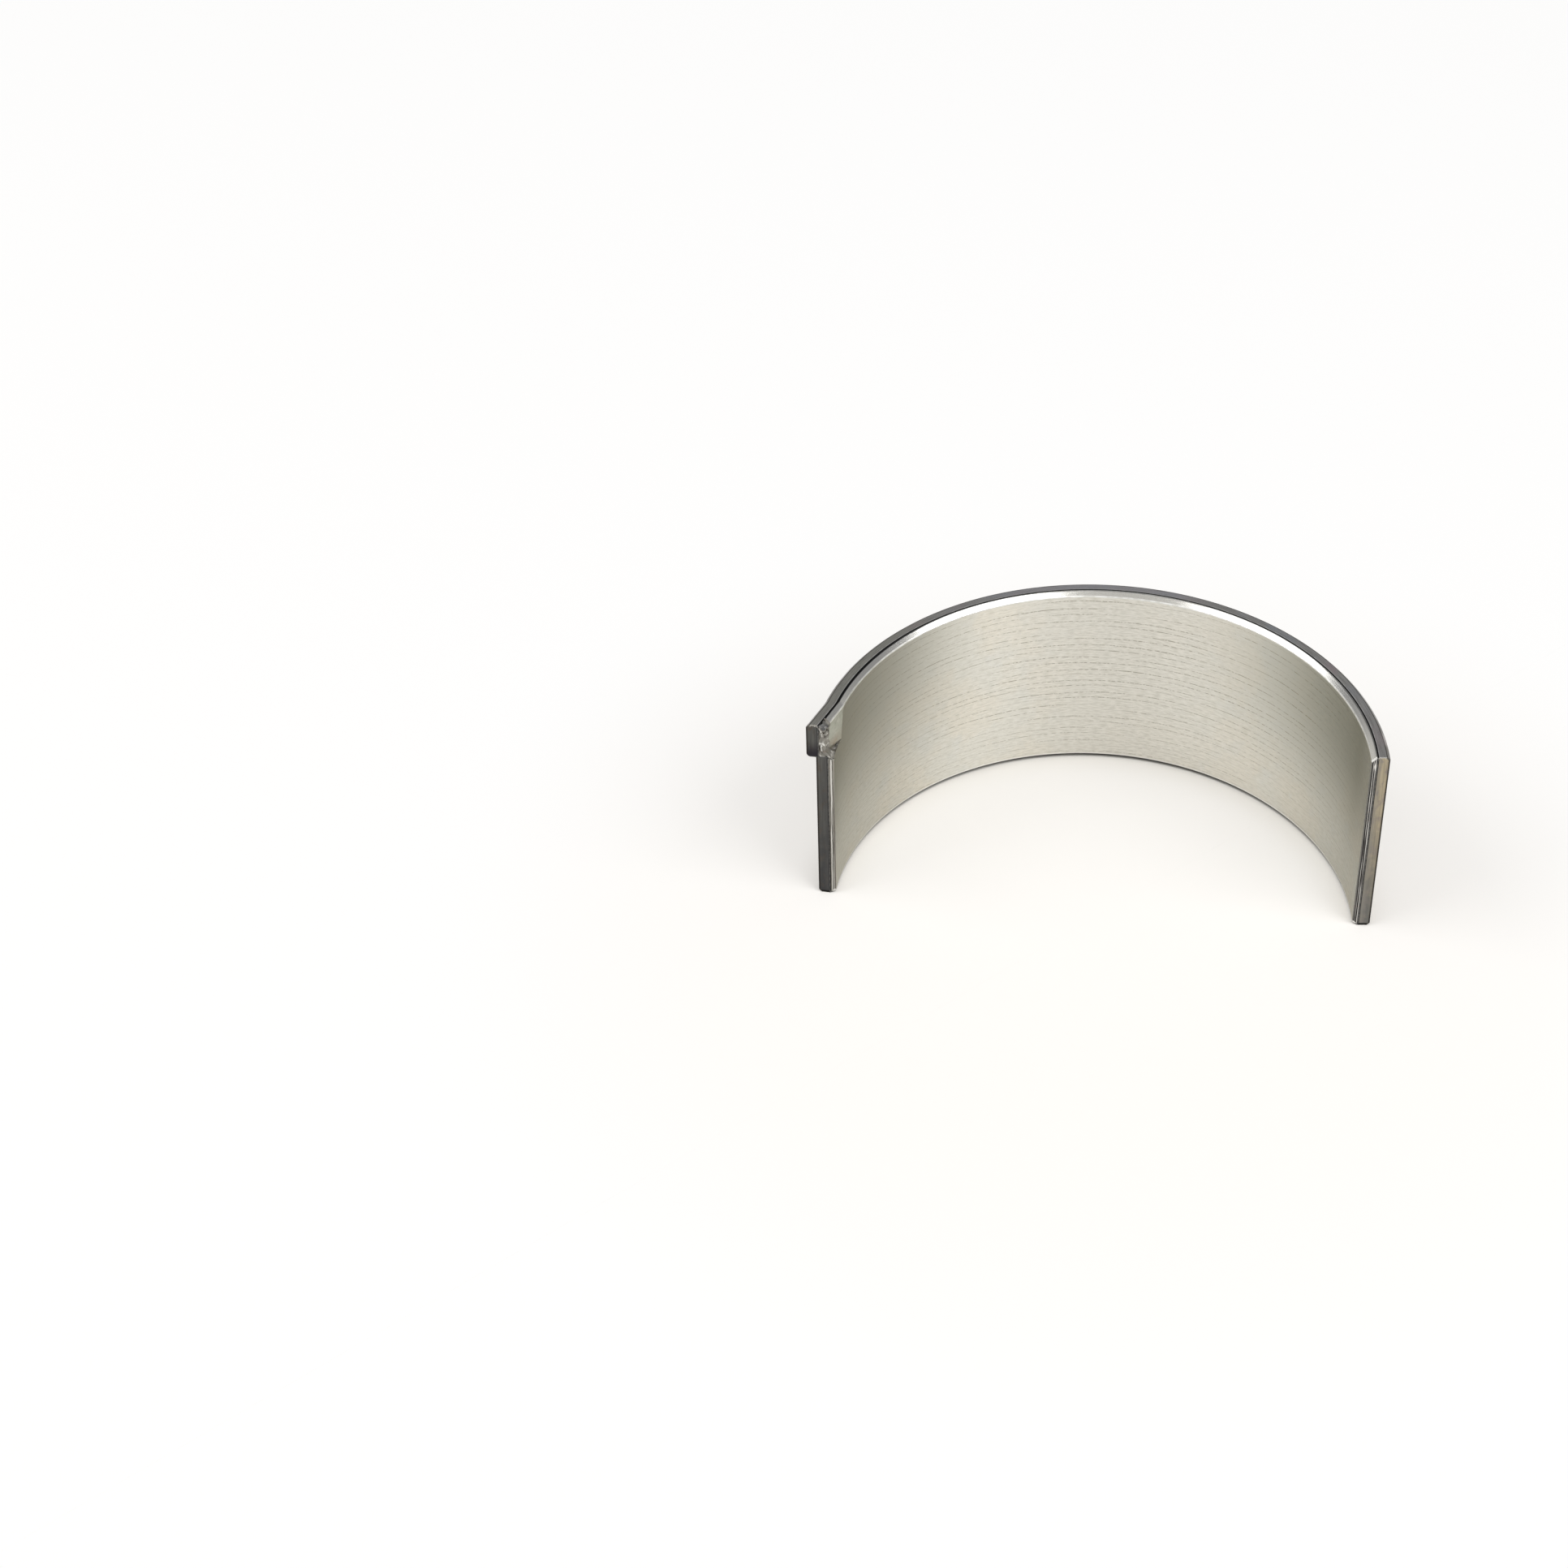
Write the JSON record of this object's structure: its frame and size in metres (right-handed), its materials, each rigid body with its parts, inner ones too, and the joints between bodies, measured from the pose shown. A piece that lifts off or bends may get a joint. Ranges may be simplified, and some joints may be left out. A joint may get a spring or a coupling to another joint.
{
  "type": "engine bearing shell",
  "caption": "Half shell of a plain engine bearing: thin steel back with a bright bonded bearing lining, chamfered ends and a pressed-out locating tang at one joint face.",
  "frame": {"origin": "on the bore axis, in the plane of the end that the shell stands on", "axes": "+Z along the bore axis, up; +Y from the bore axis to the crown of the back; the tang is on the -X side"},
  "size_m": [0.0476, 0.022, 0.0183],
  "materials": {
    "steel": "dull grey-brown rolled steel, stained and lightly scratched along its width",
    "lining": "pale bored bearing metal with fine lines round the bore"
  },
  "bodies": {
    "root": {"steel_back": "steel", "bearing_lining": "lining"}
  },
  "joints": []
}
